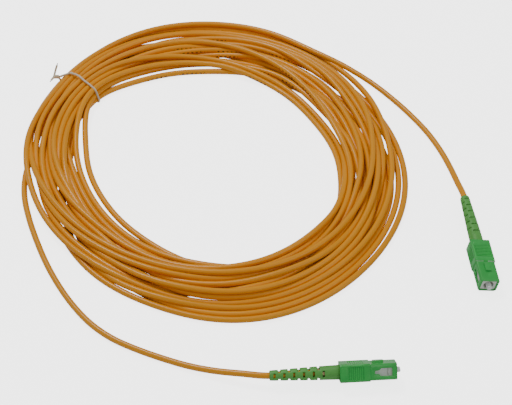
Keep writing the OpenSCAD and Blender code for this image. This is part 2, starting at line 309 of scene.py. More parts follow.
def wind_coil(cord):
    """Lets the turns of the cord settle on each other. Returns angles, radii and heights in millimetres.

    Each sample is a disc in the half plane at its angle. The turns start one above the other, sink, keep off
    each other and the surface, and follow a radius that wanders between the bundle's edges.
    """
    thick, per_turn = cord.diameter / MM, cord.steps_per_turn
    count = int(round((COIL_START - COIL_END + 360 * cord.turns) / 360 * per_turn)) + 1
    index = np.arange(count)
    angle = COIL_START - index * 360.0 / per_turn
    turn = index / per_turn
    outer = edge_radius(OUTER_EDGE, angle) - thick / 2
    inner = edge_radius(INNER_EDGE, angle) + thick / 2
    goal, pull, held = with_strays(angle, inner + (outer - inner) * across_bundle(cord, angle, turn))
    low = np.where(held, np.minimum(inner, goal), inner) - EDGE_PLAY
    high = np.where(held, np.maximum(outer, goal), outer) + EDGE_PLAY

    # The first and the last samples follow the leads, and the next ones fade out of them
    lead_a_r, lead_a_z = lead_at(LEAD_A, LEAD_A_TURNS, angle)
    lead_b_r, lead_b_z = lead_at(LEAD_B, LEAD_B_TURNS, angle - angle[-1] + COIL_END)
    at_a, at_b = ease((14 - index) / 12), ease((10 - (count - 1 - index)) / 8)

    # Spare places in the table lie far away from all turns and from each other
    layers, spare = table_size(count, per_turn)
    far = 1e6 + 1e5 * np.arange(spare)
    same = np.eye(layers, dtype=bool)[:, :, None]

    radius, height = goal.copy(), thick / 2 + thick * turn
    tied = np.exp(-((from_tie(angle) / TIE_REACH) ** 2))
    for step in range(cord.settle_rounds):
        done = step / cord.settle_rounds
        early, late = done < 0.6, done >= 0.85
        height -= next(sunk for until, sunk in SINKING if done < until)
        if done > 0.4:
            height -= PRESSED_SHARE * np.clip(height - PRESSED_ABOVE, 0, None)
        radius += pull * (goal - radius) * (1 if early else 0.4)
        radius, height = (smoothed(values, 3 if early else 5, 0.2) for values in (radius, height))
        outside = np.clip(np.abs(radius - TIE_MIDDLE) - TIE_HALF + thick / 2, 0, None)
        radius -= 0.5 * np.sign(radius - TIE_MIDDLE) * outside * tied
        if done > 0.3:
            height -= 0.3 * np.clip(height - TIE_TOP + thick / 2, 0, None) * tied
        lifted = thick * cord.turns * max(0.0, 1 - done / 0.35)
        for _ in range(6 if late else 3):
            r = np.r_[radius, far].reshape(layers, per_turn)
            z = np.r_[height, np.zeros(spare)].reshape(layers, per_turn)
            dr, dz = r[:, None] - r[None], z[:, None] - z[None]
            apart = np.sqrt(dr * dr + dz * dz) + 1e-9
            push = PUSH_APART * np.where(same, 0.0, np.clip(thick - apart, 0, None)) / apart
            radius = radius + (push * dr).sum(1).reshape(-1)[:count]
            height = np.maximum(height + (push * dz).sum(1).reshape(-1)[:count], thick / 2)
            radius = (
                radius
                + EDGE_PUSH * np.clip(low - radius, 0, None)
                - EDGE_PUSH * np.clip(radius - high, 0, None)
            )
            radius = blended(blended(radius, lead_a_r, at_a), lead_b_r, at_b)
            height = blended(blended(height, lead_a_z, at_a), lead_b_z + lifted, at_b)
    # A last smoothing takes out small kinks left where turns push on each other
    return angle, smoothed(radius, 10), np.maximum(smoothed(height, 10), thick / 2)


def cord_route(angle, radius, height):
    """The whole cord's centre line in millimetres: lead A, the coil and lead B."""
    lead_a, lead_b = curve_through(LEAD_A, 3), curve_through(LEAD_B, 3)
    gap = 1.2
    lead_a = lead_a[polar(lead_a)[0] % 360 > COIL_START + gap]
    lead_b = lead_b[polar(lead_b)[0] < COIL_END - gap]
    coil = round_coil(angle, radius, 0, height)
    return curve_through(np.vstack([lead_a, coil, lead_b[::-1]]), 2)


# ---------------------------------------------------------------- materials


def add_node(tree, kind, inputs=(), **options):
    """Adds a node. An input is linked where its value is another node's socket, and set where it isn't."""
    node = tree.nodes.new(kind)
    for name, value in options.items():
        setattr(node, name, value)
    set_inputs(tree, node, dict(inputs))
    return node


def set_inputs(tree, node, inputs):
    for socket, value in inputs.items():
        if isinstance(value, bpy.types.NodeSocket):
            tree.links.new(value, node.inputs[socket])
        else:
            node.inputs[socket].default_value = value


class Finish:
    """A procedural material: short calls that add nodes and join them up."""

    def __init__(self, name, colour, roughness, **sockets):
        self.material = bpy.data.materials.new(name)
        self.material.use_nodes = True
        self.tree = self.material.node_tree
        self.shader = self.tree.nodes["Principled BSDF"]
        self.colour = colour
        self.material.diffuse_color = (*colour, 1)
        self.set(Base_Color=(*colour, 1), Roughness=roughness, **sockets)

    def set(self, **sockets):
        """Sets inputs of the shader, with _ for each space in their names. Returns the material."""
        inputs = {name.replace("_", " "): value for name, value in sockets.items()}
        set_inputs(self.tree, self.shader, inputs)
        return self.material

    def add(self, kind, inputs=(), **options):
        return add_node(self.tree, "ShaderNode" + kind, inputs, **options)

    def place(self):
        return self.add("TexCoord").outputs["Object"]

    def attribute(self, name):
        return self.add("Attribute", attribute_name=name).outputs["Vector"]

    def split(self, vector):
        return self.add("SeparateXYZ", {0: vector}).outputs

    def maths(self, operation, a, b=0.0):
        return self.add("Math", {0: a, 1: b}, operation=operation).outputs[0]

    def product(self, first, *others):
        for value in others:
            first = self.maths("MULTIPLY", first, value)
        return first

    def noise(self, vector, scale, detail=3.0):
        inputs = {"Vector": vector, "Scale": scale, "Detail": detail, "Roughness": 0.55}
        return self.add("TexNoise", inputs).outputs["Fac"]

    def stretched(self, vector, scale, detail=3.0):
        """Noise drawn out along an axis."""
        return self.noise(self.add("Mapping", {"Vector": vector, "Scale": scale}).outputs[0], 1.0, detail)

    def span(self, value, low, high, to_low=0.0, to_high=1.0):
        inputs = {"Value": value, "From Min": low, "From Max": high, "To Min": to_low, "To Max": to_high}
        return self.add("MapRange", inputs).outputs[0]

    def between(self, noise, low=0.0, high=1.0):
        """Spreads the middle of a noise over a range."""
        return self.span(noise, 0.3, 0.7, low, high)

    def mixed(self, factor, a, b):
        inputs = {"Factor": factor}
        for socket, value in ((6, a), (7, b)):
            inputs[socket] = value if isinstance(value, bpy.types.NodeSocket) else (*value, 1)
        return self.add("Mix", inputs, data_type="RGBA").outputs[2]

    def tone(self, share):
        """The base colour, lighter above 1 and darker below."""
        return tuple(min(1.0, c * share) for c in self.colour)

    def shades(self, noise, dark, light):
        """The base colour in darker and lighter patches."""
        return self.mixed(self.between(noise), self.tone(dark), self.tone(light))

    def edges(self, sharp, most):
        """0 on flat faces, rising to most on sharp edges."""
        return self.span(self.add("NewGeometry").outputs["Pointiness"], 0.53, sharp, 0.0, most)

    def bump(self, height, strength, distance, **under):
        inputs = {"Height": height, "Strength": strength, "Distance": distance, **under}
        return self.add("Bump", inputs).outputs[0]


def jacket_finish(cord):
    """Extruded jacket: soft gloss, faint lines along the cord, slow colour changes and short print marks."""
    f = Finish("yellow_jacket", cord.jacket_colour, 0.42, Specular_IOR_Level=0.5)
    run = f.attribute("jacket_run")
    along = f.split(run)
    drawn = f.stretched(run, (2.5, 2.5, 30.0), 2.0)
    patch = f.stretched(run, (0.4, 0.4, 9.0))
    colour = f.mixed(f.span(drawn, 0.35, 0.75, 0.0, 0.25), f.shades(patch, 0.93, 1.05), f.tone(0.8))

    def repeated(per_metre, operation, share):
        """1 on one part of each repeat along the cord and 0 on the rest."""
        return f.maths(operation, f.maths("FRACT", f.product(along["Z"], per_metre)), share)

    # Print marks: rows of plain dashes on one side of the cord, one row every half metre
    row = repeated(2.0, "LESS_THAN", 0.085)
    dash = repeated(420.0, "LESS_THAN", 0.5)
    gap = repeated(52.0, "GREATER_THAN", 0.3)
    side = f.span(along["X"], 0.9, 0.93)
    worn = f.span(f.noise(f.place(), 1800.0, 2.0), 0.35, 0.55)
    fine = f.noise(f.place(), 2600.0)
    return f.set(
        Base_Color=f.mixed(f.product(row, dash, gap, side, worn), colour, (0.05, 0.03, 0.02)),
        Roughness=f.between(drawn, 0.26, 0.38),
        Normal=f.bump(fine, 0.08, 0.00005, Normal=f.bump(drawn, 0.12, 0.00012)),
    )


def moulded_finish(name, colour, roughness, grain=3200.0, edge_tone=1.25, **sockets):
    """Moulded plastic: fine spark-eroded grain, slow colour changes and lighter rubbed edges."""
    f = Finish(name, colour, roughness, **sockets)
    place = f.place()
    patch = f.noise(place, 160.0)
    return f.set(
        Base_Color=f.mixed(f.edges(0.6, 0.7), f.shades(patch, 0.93, 1.06), f.tone(edge_tone)),
        Roughness=f.between(patch, roughness - 0.05, roughness + 0.07),
        Normal=f.bump(f.noise(place, grain, 2.0), 0.12, 0.00004),
    )


def grip_finish(plug):
    """The grip's gloss green, with a painted highlight: a pale, patchy line along the edge of the moulded
    step on the key face.
    """
    f = Finish("green_grip", plug.grip_colour, 0.34, IOR=1.5, Coat_Weight=0.2, Coat_Roughness=0.25)
    place = f.place()
    patch = f.noise(place, 160.0)
    local = f.split(f.attribute("in_plug"))
    from_step = f.maths("ABSOLUTE", f.maths("SUBTRACT", local["X"], plug.rear_length / MM + 0.12))
    on_key_face = f.maths("GREATER_THAN", local["Z"], plug.grip_height / MM / 2 - 0.1)
    beside_key = f.maths("GREATER_THAN", f.maths("ABSOLUTE", local["Y"]), KEY_WIDTH / 2 - 0.2)
    spots = f.span(f.noise(place, 900.0, 2.0), 0.38, 0.6, 0.3, 0.9)
    # Painted highlight: a pale line along the edge of the step on the key face, beside the key, broken into
    # patches
    painted_step_highlight = f.product(f.span(from_step, 0.3, 0.08), on_key_face, beside_key, spots)
    base = f.mixed(f.edges(0.62, 0.5), f.shades(patch, 0.92, 1.06), f.tone(1.35))
    return f.set(
        Base_Color=f.mixed(painted_step_highlight, base, (0.45, 0.62, 0.45)),
        Roughness=f.between(patch, 0.3, 0.42),
        Normal=f.bump(f.noise(place, 3000.0, 2.0), 0.1, 0.00003),
    )


def metal_finish(name, colour, roughness, streaks):
    """Turned, drawn or plated metal with fine tool lines."""
    f = Finish(name, colour, roughness, Metallic=1.0)
    lines = f.stretched(f.place(), streaks)
    return f.set(
        Base_Color=f.shades(lines, 0.85, 1.08),
        Roughness=f.between(lines, roughness - 0.06, roughness + 0.1),
        Normal=f.bump(lines, 0.15, 0.00003),
    )


def yarn_finish():
    """Straight aramid filaments."""
    f = Finish("aramid_yarn", (0.85, 0.7, 0.25), 0.6, Sheen_Weight=0.3)
    fibres = f.stretched(f.place(), (9000.0, 9000.0, 400.0), 4.0)
    return f.set(Base_Color=f.shades(fibres, 0.7, 1.1), Normal=f.bump(fibres, 0.5, 0.0001))


def glass_finish():
    """Bare glass fibre."""
    f = Finish("glass_fibre", (0.9, 0.95, 0.97), 0.05, Transmission_Weight=0.6, IOR=1.46)
    return f.set(Roughness=f.between(f.noise(f.place(), 5000.0), 0.03, 0.1))


def ceramic_finish():
    """Ground and polished zirconia."""
    f = Finish("zirconia", (0.86, 0.87, 0.88), 0.2, IOR=2.0, Coat_Weight=0.3, Coat_Roughness=0.08)
    ground = f.noise(f.place(), 6000.0)
    return f.set(Base_Color=f.shades(ground, 0.96, 1.03), Roughness=f.between(ground, 0.14, 0.28))


# ---------------------------------------------------------------- making meshes


def new_object(name, data, matrix=None):
    """Adds an object at the origin. A matrix moves its mesh, whose own coordinates are kept in in_plug."""
    if matrix is not None:
        local = np.empty(len(data.vertices) * 3, np.float32)
        data.vertices.foreach_get("co", local)
        data.attributes.new("in_plug", "FLOAT_VECTOR", "POINT").data.foreach_set("vector", local)
        data.transform(matrix)
    obj = bpy.data.objects.new(name, data)
    bpy.context.scene.collection.objects.link(obj)
    return obj


def evaluated_mesh(obj):
    """What an object's modifiers make of its mesh."""
    graph = bpy.context.evaluated_depsgraph_get()
    return bpy.data.meshes.new_from_object(obj.evaluated_get(graph))


def settle(obj):
    """Applies an object's modifiers."""
    mesh = evaluated_mesh(obj)
    mesh.name = obj.name
    obj.modifiers.clear()
    obj.data = mesh


def drop(*objects):
    for obj in objects:
        bpy.data.objects.remove(obj, do_unlink=True)


def paint(obj, material, smooth=True):
    obj.data.materials.clear()
    obj.data.materials.append(material)
    obj.data.polygons.foreach_set("use_smooth", [smooth] * len(obj.data.polygons))


def finish_piece(obj, body, slot, *nodes):
    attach(obj, body)
    if nodes:
        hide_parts(*nodes)


def reworked(mesh, work):
    """Lets work change a mesh as a bmesh."""
    shape = bmesh.new()
    shape.from_mesh(mesh)
    work(shape)
    shape.to_mesh(mesh)
    shape.free()
    return mesh


def solid(points, faces):
    """A closed mesh whose faces are turned outwards."""
    mesh = bpy.data.meshes.new("shape")
    mesh.from_pydata([tuple(p) for p in points], [], faces)
    return reworked(mesh, lambda shape: bmesh.ops.recalc_face_normals(shape, faces=shape.faces))


def loft(sections):
    """Closed mesh through rings of points, with its two ends capped."""
    size = len(sections[0])
    faces = [
        (i * size + k, i * size + (k + 1) % size, (i + 1) * size + (k + 1) % size, (i + 1) * size + k)
        for i in range(len(sections) - 1)
        for k in range(size)
    ]
    last = (len(sections) - 1) * size
    faces += [tuple(range(size - 1, -1, -1)), tuple(range(last, last + size))]
    return solid([p for ring in sections for p in ring], faces)


def prism(outline, low, high, upright):
    """Extrudes an (x, height) outline across the plug, or a (side, height) outline along X."""
    if upright:
        return loft([[(x, y, z) for x, z in outline] for y in (low, high)])
    return loft([[(x, y, z) for y, z in outline] for x in (low, high)])


def circle(count, radius):
    turns = [math.tau * k / count for k in range(count)]
    return [(radius * math.cos(a), radius * math.sin(a)) for a in turns]


def lathe(profile):
    """Turns an (x, radius) profile round X, with both ends closed."""
    return loft([[(x, y, z) for y, z in circle(40, radius)] for x, radius in profile])


def rectangle(low, high):
    return [low, (high[0], low[1]), high, (low[0], high[1])]


def rounded(corners, radius, steps=3):
    """Rounds the corners of a closed outline."""
    points, count = [], len(corners)
    for i in range(count):
        before, here, after = (Vector(corners[(i + k) % count]) for k in (-1, 0, 1))
        a, b = (before - here), (after - here)
        reach = min(radius, a.length * 0.45, b.length * 0.45)
        start, end = here + a.normalized() * reach, here + b.normalized() * reach
        for k in range(steps + 1):
            t = k / steps
            points.append(tuple(start * (1 - t) ** 2 + here * 2 * t * (1 - t) + end * t**2))
    return points


def carve(obj, cutters, operation="DIFFERENCE"):
    """Cuts meshes out of an object, or adds them to it."""
    tools = [new_object("cutter", mesh) for mesh in cutters]
    for tool in tools:
        cut = obj.modifiers.new("cut", "BOOLEAN")
        cut.operation, cut.solver, cut.object = operation, "EXACT", tool
    settle(obj)
    drop(*tools)


def soften(obj, width, angle=35):
    """Bevels the edges that turn by more than the angle."""
    bevel = obj.modifiers.new("edges", "BEVEL")
    bevel.width, bevel.segments = width, 2
    bevel.limit_method, bevel.angle_limit = "ANGLE", math.radians(angle)
    bevel.harden_normals = True
    settle(obj)


def join_meshes(meshes, name):
    joined = bmesh.new()
    for mesh in meshes:
        joined.from_mesh(mesh)
        bpy.data.meshes.remove(mesh)
    mesh = bpy.data.meshes.new(name)
    joined.to_mesh(mesh)
    joined.free()
    return mesh


# ---------------------------------------------------------------- geometry node trees


def new_tree(name, inputs):
    """A geometry node tree. Returns it, its inputs, and a call that adds a node and returns its output."""
    tree = bpy.data.node_groups.new(name, "GeometryNodeTree")
    for label, kind in (("Geometry", "Geometry"), *inputs):
        tree.interface.new_socket(label, in_out="INPUT", socket_type="NodeSocket" + kind)
    tree.interface.new_socket("Geometry", in_out="OUTPUT", socket_type="NodeSocketGeometry")

    def add(kind, inputs=(), output=0, **options):
        return add_node(tree, kind, inputs, **options).outputs[output]

    return tree, add_node(tree, "NodeGroupInput").outputs, add


def end_tree(tree, add, geometry, material):
    real = add("GeometryNodeRealizeInstances", {"Geometry": geometry})
    painted = add("GeometryNodeSetMaterial", {"Geometry": real, "Material": material})
    add_node(tree, "NodeGroupOutput", {0: painted})
    return tree


def with_nodes(obj, tree, values):
    """The mesh that a geometry node tree makes of an object, with its inputs set by name."""
    modifier = obj.modifiers.new("nodes", "NODES")
    modifier.node_group = tree
    for item in tree.interface.items_tree:
        if item.in_out == "INPUT" and item.name in values:
            modifier[item.identifier] = values[item.name]
    mesh = evaluated_mesh(obj)
    drop(obj)
    return mesh


def sleeve_tree():
    """A round sleeve along a curve. Its jacket_run holds the cosine and sine round it and the length."""
    sockets = [("Radius", "Float"), ("Sides", "Int"), ("Material", "Material")]
    tree, given, add = new_tree("Sleeve along a curve", sockets)

    def maths(operation, a, b=0.0):
        return add("ShaderNodeMath", {0: a, 1: b}, operation=operation)

    def store(geometry, name, value, kind="FLOAT_VECTOR"):
        inputs = {"Geometry": geometry, "Name": name, "Value": value}
        return add("GeometryNodeStoreNamedAttribute", inputs, data_type=kind, domain="POINT")

    def stored(name, kind="FLOAT_VECTOR"):
        return add("GeometryNodeInputNamedAttribute", {"Name": name}, data_type=kind)

    ring = add("GeometryNodeCurvePrimitiveCircle", {"Resolution": given["Sides"], "Radius": given["Radius"]})
    turn = maths("MULTIPLY", add("GeometryNodeSplineParameter", output="Factor"), math.tau)
    around = add("ShaderNodeCombineXYZ", {"X": maths("COSINE", turn), "Y": maths("SINE", turn)})
    ring = store(ring, "around", around)
    line = store(given["Geometry"], "run", add("GeometryNodeSplineParameter", output="Length"), "FLOAT")
    tube = add("GeometryNodeCurveToMesh", {"Curve": line, "Profile Curve": ring, "Fill Caps": True})
    lifted = add("ShaderNodeCombineXYZ", {"Z": stored("run", "FLOAT")})
    place = add("ShaderNodeVectorMath", {0: stored("around"), 1: lifted}, operation="ADD")
    smooth = add("GeometryNodeSetShadeSmooth", {"Geometry": store(tube, "jacket_run", place)})
    return end_tree(tree, add, smooth, given["Material"])


def rib_tree():
    """A row of round-topped ribs, drawn along Y and repeated along X."""
    sizes = [(label, "Float") for label in ("Pitch", "Rib length", "Rib radius")]
    tree, given, add = new_tree("Row of ribs", [("Count", "Int"), *sizes, ("Material", "Material")])
    ends = {}
    for label, share in (("Start", -0.5), ("End", 0.5)):
        reach = add("ShaderNodeMath", {0: given["Rib length"], 1: share}, operation="MULTIPLY")
        ends[label] = add("ShaderNodeCombineXYZ", {"Y": reach})
    line = add("GeometryNodeCurvePrimitiveLine", ends)
    ring = add("GeometryNodeCurvePrimitiveCircle", {"Resolution": 12, "Radius": given["Rib radius"]})
    rib = add("GeometryNodeCurveToMesh", {"Curve": line, "Profile Curve": ring, "Fill Caps": True})
    pitch = add("ShaderNodeCombineXYZ", {"X": given["Pitch"]})
    row = add("GeometryNodeMeshLine", {"Count": given["Count"], "Offset": pitch})
    placed = add("GeometryNodeInstanceOnPoints", {"Points": row, "Instance": rib})
    return end_tree(tree, add, placed, given["Material"])


def sleeve_mesh(route, radius, sides, material):
    """A closed round tube whose rings stand on the points of the route, in metres."""
    curve = bpy.data.curves.new("route", "CURVE")
    curve.dimensions = "3D"
    line = curve.splines.new("POLY")
    line.points.add(len(route) - 1)
    line.points.foreach_set("co", np.c_[route, np.ones(len(route))].ravel())
    tree = bpy.data.node_groups.get("Sleeve along a curve") or sleeve_tree()
    values = {"Radius": radius, "Sides": sides, "Material": material}
    return with_nodes(new_object("route", curve), tree, values)


# ---------------------------------------------------------------- settings


def number(name, description, default, **options):
    options = {"min": 0.0, **options}
    return FloatProperty(name=name, description=description, default=default, **options)


def length(name, description, default):
    return number(name, description, default, unit="LENGTH", precision=5)


def whole(name, description, default, **options):
    return IntProperty(name=name, description=description, default=default, **options)


def colour(name, description, default):
    options = {"subtype": "COLOR", "size": 3, "min": 0.0, "max": 1.0}
    return FloatVectorProperty(name=name, description=description, default=default, **options)


class CordSettings(bpy.types.PropertyGroup):
    """Sizes and colour of the cord and the way it is wound."""

    diameter: length("Jacket diameter", "Outer diameter of the cord's jacket", 0.003)
    turns: whole("Full turns", "Full turns in the coil", 18, min=2, max=40)
    steps_per_turn: whole("Steps per turn", "Points worked out for each turn", 144, min=36)
    settle_rounds: whole("Settling rounds", "Rounds in which the turns settle", 900, min=10)
    sides: whole("Sides", "Sides of the cord's round section", 12, min=6)
    seed: whole("Seed", "Start of the random wander of the turns", 12)
    jacket_colour: colour("Jacket", "Colour of the jacket", (0.88, 0.35, 0.0))


class TieSettings(bpy.types.PropertyGroup):
    """Sizes and colours of the twist tie."""

    diameter: length("Tie diameter", "Outer diameter of the covered wire", 0.0011)
    wire_diameter: length("Wire diameter", "Diameter of the bare wire", 0.0005)
    cover_colour: colour("Cover", "Colour of the plastic cover", (0.72, 0.63, 0.46))
    wire_colour: colour("Wire", "Colour of the bare wire", (0.42, 0.42, 0.42))


class PlugSettings(bpy.types.PropertyGroup):
    """Sizes and colours of the plugs and their boots."""

    grip_length: length("Grip length", "Length of the grip", 0.025)
    grip_width: length("Grip width", "Width of the grip's front part across the key face", 0.009)
    grip_height: length("Grip height", "Height of the grip's front part under the key", 0.0074)
    rear_length: length("Rear length", "Length of the grip's fatter rear part", 0.0132)
    rear_step: length("Rear step", "How far the rear part stands out", 0.00035)
    ferrule_diameter: length("Ferrule diameter", "Diameter of the ceramic ferrule", 0.0025)
    grip_colour: colour("Grip", "Colour of the grips", (0.035, 0.46, 0.075))
    boot_colour: colour("Boot", "Colour of the boots", (0.105, 0.41, 0.072))
    frame_colour: colour("Plug frame", "Colour of the plug frames", (0.78, 0.8, 0.72))


class StageSettings(bpy.types.PropertyGroup):
    """Floor, light and camera."""

    lens: number("Lens", "Focal length in millimetres", 105.5, min=10.0)
    elevation: number("Elevation", "Camera's angle above the floor", math.radians(47), subtype="ANGLE")
    distance: length("Distance", "From the camera to the point it looks at", 0.735)
    floor_colour: colour("Floor", "Colour of the floor", (0.9, 0.9, 0.9))
    floor_glow: number("Floor glow", "How far the floor is lifted towards white where it is seen", 3.2)
    world_light: number("Room light", "Strength of the even light all round", 0.36)
    key_light: number("Key light", "Power of the large soft light", 6.0)


# ---------------------------------------------------------------- operators

# The point that the camera looks at, the floor's radius and how far it lies under the cord, in metres
LOOK_AT = Vector((0.002, -0.0075, 0.0))
FLOOR_RADIUS, FLOOR_DROP = 3, 0.0002
# Each light's place, size and share of the key light's power
LIGHTS = {"key": ((-0.35, 0.45, 1.1), 0.3, 1.0), "fill": ((0.8, -0.5, 0.9), 0.8, 0.35)}


class PATCHCORD_OT_stage(bpy.types.Operator):
    """Makes the floor, the lights and the camera"""

    bl_idname = "patchcord.stage"
    bl_label = "Stage"

    def execute(self, context):
        stage = context.scene.patch_stage
        camera = new_object("camera", bpy.data.cameras.new("camera"))
        camera.data.lens = stage.lens
        camera.data.clip_start = 0.01
        back = Vector((0, -math.cos(stage.elevation), math.sin(stage.elevation)))
        camera.location = LOOK_AT + back * stage.distance
        camera.rotation_euler = (math.pi / 2 - stage.elevation, 0, 0)
        context.scene.camera = camera

        rim = [(x, y, -FLOOR_DROP) for x, y in circle(64, FLOOR_RADIUS)]
        floor_mesh = bpy.data.meshes.new("floor")
        floor_mesh.from_pydata(rim, [], [tuple(range(len(rim)))])
        floor = new_object("floor", floor_mesh)
        f = Finish("floor_paper", stage.floor_colour, 0.9)
        seen = f.add("LightPath").outputs["Is Camera Ray"]
        paper = f.set(
            Roughness=f.between(f.noise(f.place(), 400.0), 0.85, 0.95),
            Specular_IOR_Level=0.0,
            Emission_Color=(1, 1, 1, 1),
            Emission_Strength=f.product(seen, stage.floor_glow),
        )
        paint(floor, paper, smooth=False)
        floor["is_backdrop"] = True

        world = bpy.data.worlds.new("room")
        world.use_nodes = True
        sky = {"Color": (1, 1, 1, 1), "Strength": stage.world_light}
        set_inputs(world.node_tree, world.node_tree.nodes["Background"], sky)
        context.scene.world = world
        for name, (place, size, share) in LIGHTS.items():
            lamp = bpy.data.lights.new(name, "AREA")
            lamp.energy, lamp.size = stage.key_light * share, size
            light = new_object(name, lamp)
            light.location = place
            light.rotation_euler = (-Vector(place)).to_track_quat("-Z", "Y").to_euler()
        return {"FINISHED"}


class PATCHCORD_OT_cord(bpy.types.Operator):
    """Winds the cord and makes its jacket, as one tube from one plug to the other"""

    bl_idname = "patchcord.cord"
    bl_label = "Cord"

    def execute(self, context):
        cord = context.scene.patch_cord
        angle, radius, height = wind_coil(cord)
        route = MM * cord_route(angle, radius, height)
        mesh = sleeve_mesh(route, cord.diameter / 2, cord.sides, jacket_finish(cord))
        jacket = new_object("cord_jacket", mesh)
        finish_piece(jacket, "cord", "yellow_jacket", "lead_a", "coil", "lead_b")
        # The turns at the tie, for the tie to close round: their radii and heights in millimetres
        near = np.abs(from_tie(angle)) <= 180 / cord.steps_per_turn
        tied = bpy.data.meshes.new("turns_at_tie")
        tied.from_pydata([(r, z, 0) for r, z in zip(radius[near], height[near])], [], [])
        tied.use_fake_user = True
        return {"FINISHED"}


def hull(points):
    """Convex outline of flat points, counterclockwise."""
    points = sorted(map(tuple, points))

    def turns_left(a, b, c):
        return (b[0] - a[0]) * (c[1] - a[1]) > (b[1] - a[1]) * (c[0] - a[0])

    def half(chain):
        out = []
        for p in chain:
            while len(out) > 1 and not turns_left(out[-2], out[-1], p):
                out.pop()
            out.append(p)
        return out[:-1]

    return np.array(half(points) + half(points[::-1]))


class PATCHCORD_OT_tie(bpy.types.Operator):
    """Makes the twist tie: a covered wire round the turns, twisted together outside, with two bare ends"""

    bl_idname = "patchcord.tie"
    bl_label = "Twist tie"

    def execute(self, context):
        tie, cord = context.scene.patch_tie, context.scene.patch_cord
        turns = bpy.data.meshes.get("turns_at_tie")
        if turns is None:
            raise RuntimeError("make the cord before the tie")
        thick, clear = tie.diameter / MM, 0.05
        ring = circle(16, cord.diameter / MM / 2 + thick / 2 + clear)
        rim = [
            (v.co.x + out, max(v.co.y + up, thick / 2))
            for v in turns.vertices
            for out, up in ring
        ]
        loop = hull(rim)
        middle = (loop.min(0) + loop.max(0)) / 2
        # The loop starts and ends at its outermost point, low down, where its ends are twisted together
        bearing = np.arctan2(loop[:, 1] - middle[1], loop[:, 0] - middle[0]) % math.tau
        order = np.argsort(bearing)
        opening = 0.28
        even = np.linspace(opening, math.tau - opening, 44)
        loop_r, loop_z = (
            np.interp(even, bearing[order], loop[order, i], period=math.tau) for i in (0, 1)
        )
        # On top the wire stands up in a low arch and runs askew
        top = even < math.pi
        arch = np.interp(loop_r, [middle[0] - 13, middle[0] + 4, middle[0] + 13], [0.0, 0.5, 0.0])
        loop_z = np.where(top, smoothed(loop_z, 4) + arch, loop_z)
        lean = np.where(top, -0.6 - 1.7 * np.cos(even), 0.9 - 0.2 * np.cos(even))
        outside = loop[:, 0].max()

        def beyond(past, side, up):
            """Points past the outside of the loop."""
            return round_coil(TIE_ANGLE, outside + np.array(past), np.array(side), np.array(up))

        def twist(phase):
            """One end of the wire, twisted round the other on its way out."""
            share = np.arange(1, 13) / 12
            swing, turned = thick * 0.52, phase + 9.0 * share
            side = 1.0 + 1.8 * share + swing * np.cos(turned)
            return beyond(0.5 + 1.5 * share, side, 2.9 + 0.5 * share + swing * np.sin(turned))

        first = beyond([2.3, 2.4, 2.3], [-0.4, 0.8, 2.0], [9.0, 6.8, 4.8])
        last = beyond([2.4, 2.7], [3.6, 4.6], [2.8, 1.9])
        loop = round_coil(TIE_ANGLE, loop_r, lean, loop_z)
        route = curve_through(np.vstack([first, twist(math.pi)[::-1], loop, twist(0.0), last]), 3)

        cover = moulded_finish("tie_plastic", tie.cover_colour, 0.4, grain=4000.0)
        loop_obj = new_object("tie_cover_wire", sleeve_mesh(MM * route, tie.diameter / 2, 12, cover))
        finish_piece(loop_obj, "cord", "tie_plastic", "tie_cover")
        bare = metal_finish("tie_wire", tie.wire_colour, 0.45, (3000.0, 3000.0, 900.0))
        stubs = []
        for tip, before in ((route[0], route[3]), (route[-1], route[-4])):
            out = (tip - before) / np.linalg.norm(tip - before)
            stub = np.array([tip + past * out for past in (-0.3, 0.5, 1.2)])
            stubs.append(sleeve_mesh(MM * stub, tie.wire_diameter / 2, 10, bare))
        mesh = join_meshes(stubs, "tie_wire_ends")
        mesh.materials.append(bare)
        finish_piece(new_object("tie_wire_ends", mesh), "cord", "tie_wire", "tie_wire")
        bpy.data.meshes.remove(turns)
        return {"FINISHED"}


# Stations along the boot in millimetres: its tip, its collar, the collar's step and the end inside the grip
BOOT_TIP_X, BOOT_COLLAR_X, BOOT_STEP_X, BOOT_FRONT_X = -30.7, -8.0, 0.3, 1.5
# Outer radii: at the tip and what the taper adds, at the collar and what it flares, of the neck in the grip
TIP_R, TAPER, COLLAR_R, FLARE, NECK_R = 2.2, 0.85, 3.1, 0.2, 2.8
# The bore is narrow round the cord and wide round the crimp sleeve
BORE_STEP_X, CORD_BORE_R, CRIMP_BORE_R = -10.25, 1.65, 2.42
SLOT_PITCH = 4.3
# Half the angle of the web along each side, and the cells round a web and round a slot
WEB_ANGLE, WEB_CELLS, SLOT_CELLS = 38.0, 8, 14


